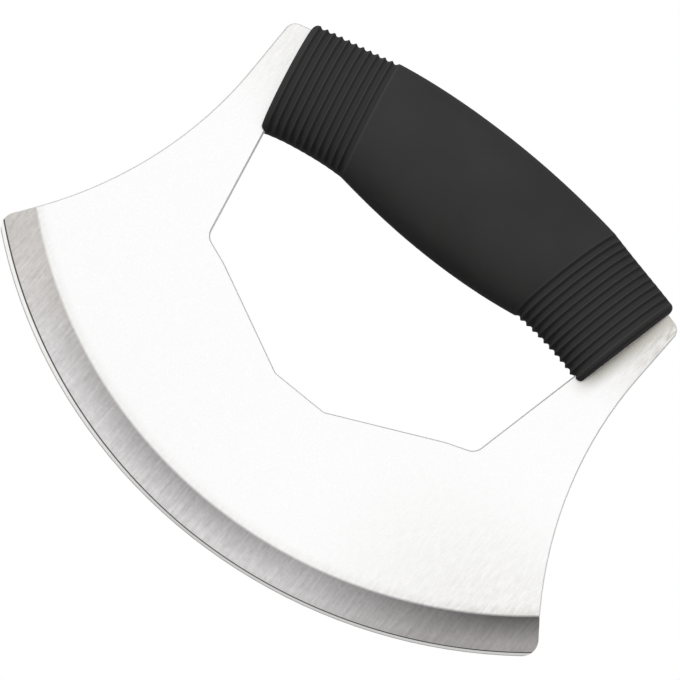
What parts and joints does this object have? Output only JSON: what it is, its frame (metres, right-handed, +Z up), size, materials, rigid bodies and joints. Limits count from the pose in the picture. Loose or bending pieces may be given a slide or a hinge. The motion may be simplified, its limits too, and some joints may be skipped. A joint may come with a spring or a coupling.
{
  "type": "rocking pizza knife",
  "caption": "Rocking knife: a curved stainless blade plate with a ground edge and a hand opening, its side arms joined by a soft black grip with ribbed ends",
  "frame": {"origin": "on the lowest point of the cutting edge, midway along the grip and midway through the plate's thickness", "axes": "+X along the grip, towards the right as the front face is seen; +Y from the front face to the back; +Z up from the edge to the grip"},
  "size_m": [0.1688, 0.031, 0.1312],
  "materials": {
    "satin_steel": "satin",
    "core_plastic": "matte",
    "rivet_aluminium": "satin",
    "grip_rubber": "matte"
  },
  "bodies": {
    "root": {"blade_plate": "satin_steel", "core_front": "core_plastic", "core_rear": "core_plastic", "tang_rivets": "rivet_aluminium", "grip_sleeve": "grip_rubber"}
  },
  "joints": []
}
